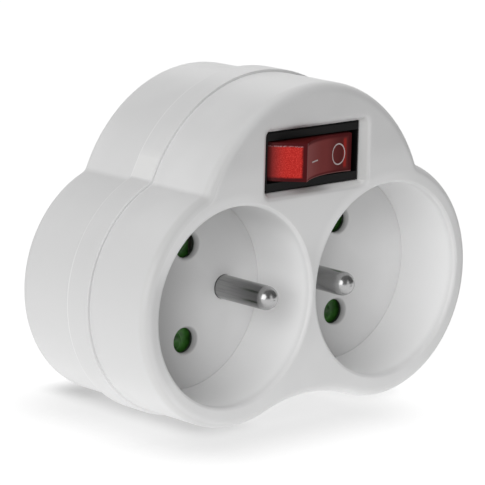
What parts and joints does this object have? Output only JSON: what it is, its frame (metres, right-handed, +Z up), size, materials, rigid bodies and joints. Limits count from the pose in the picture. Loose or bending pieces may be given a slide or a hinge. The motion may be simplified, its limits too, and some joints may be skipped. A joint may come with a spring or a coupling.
{
  "type": "multi socket adapter",
  "caption": "Cloud-shaped socket adapter with round earthed wells, safety shutters, a lit rocker switch and a pinned plug boss at the rear.",
  "frame": {"origin": "bottom centre of the bounding box, midway between the rocker's ridge and the plug pin tips", "axes": "+X to the right seen from the front, +Y from the front face to the plug pins, +Z up"},
  "size_m": [0.0886, 0.0746, 0.0667],
  "materials": {
    "white_housing": "satin moulded white, fine grain",
    "well_plate": "satin moulded white",
    "carrier": "matt moulded off-white",
    "shutter_green": "satin moulded green",
    "switch_black": "satin black",
    "rocker_red": "glossy translucent red",
    "pin_metal": "polished nickel plate",
    "brass": "bright rolled strip",
    "spring_steel": "bright wire",
    "plunger_white": "satin",
    "lamp_glass": "clear",
    "resistor_body": "lacquered",
    "screw_steel": "zinc plated"
  },
  "bodies": {
    "case": {"front_shell": "white_housing", "rear_shell": "white_housing", "socket_plate_left": "well_plate", "socket_plate_right": "well_plate", "contact_carrier_left": "carrier", "contact_carrier_right": "carrier", "earth_pin_left": "pin_metal", "earth_pin_right": "pin_metal", "shutter_spring_left": "spring_steel", "shutter_spring_right": "spring_steel", "line_bar": "brass", "neutral_bar": "brass", "earth_bar": "brass", "plug_pin_line": "pin_metal", "plug_pin_neutral": "pin_metal", "plug_earth_clip": "brass", "line_feed_strip": "brass", "lamp_feed_strip": "brass", "switch_body": "switch_black", "terminal_in": "brass", "terminal_out": "brass", "terminal_lamp": "brass", "case_screws": "screw_steel"},
    "rocker": {"rocker": "rocker_red", "rocker_plunger": "plunger_white", "plunger_spring": "spring_steel", "neon_lamp": "lamp_glass", "lamp_resistor": "resistor_body"},
    "lever": {"switch_lever": "brass"},
    "shutter_left": {"shutter_left": "shutter_green"},
    "shutter_right": {"shutter_right": "shutter_green"}
  },
  "joints": [
    {"name": "rocker_tilt", "type": "hinge", "parent": "case", "child": "rocker", "pos_m": [0, -0.02678, 0.0515], "axis": [0, 0, -1], "range_deg": [0, 26.6]},
    {"name": "lever_tilt", "type": "hinge", "parent": "case", "child": "lever", "pos_m": [0, -0.01903, 0.0515], "axis": [0, 0, 1], "range_deg": [0, 14]},
    {"name": "shutter_left_turn", "type": "hinge", "parent": "case", "child": "shutter_left", "pos_m": [-0.02045, -0.01668, 0.0246], "axis": [0, -1, 0], "range_deg": [0, 40], "stiffness_Nm_per_rad": 0.0005, "springref_deg": -17.19},
    {"name": "shutter_right_turn", "type": "hinge", "parent": "case", "child": "shutter_right", "pos_m": [0.02045, -0.01668, 0.0246], "axis": [0, 1, 0], "range_deg": [0, 40], "stiffness_Nm_per_rad": 0.0005, "springref_deg": -17.19}
  ],
  "couplings": [
    {"joint": "lever_tilt", "follows": "rocker_tilt", "ratio": 0.52}
  ]
}
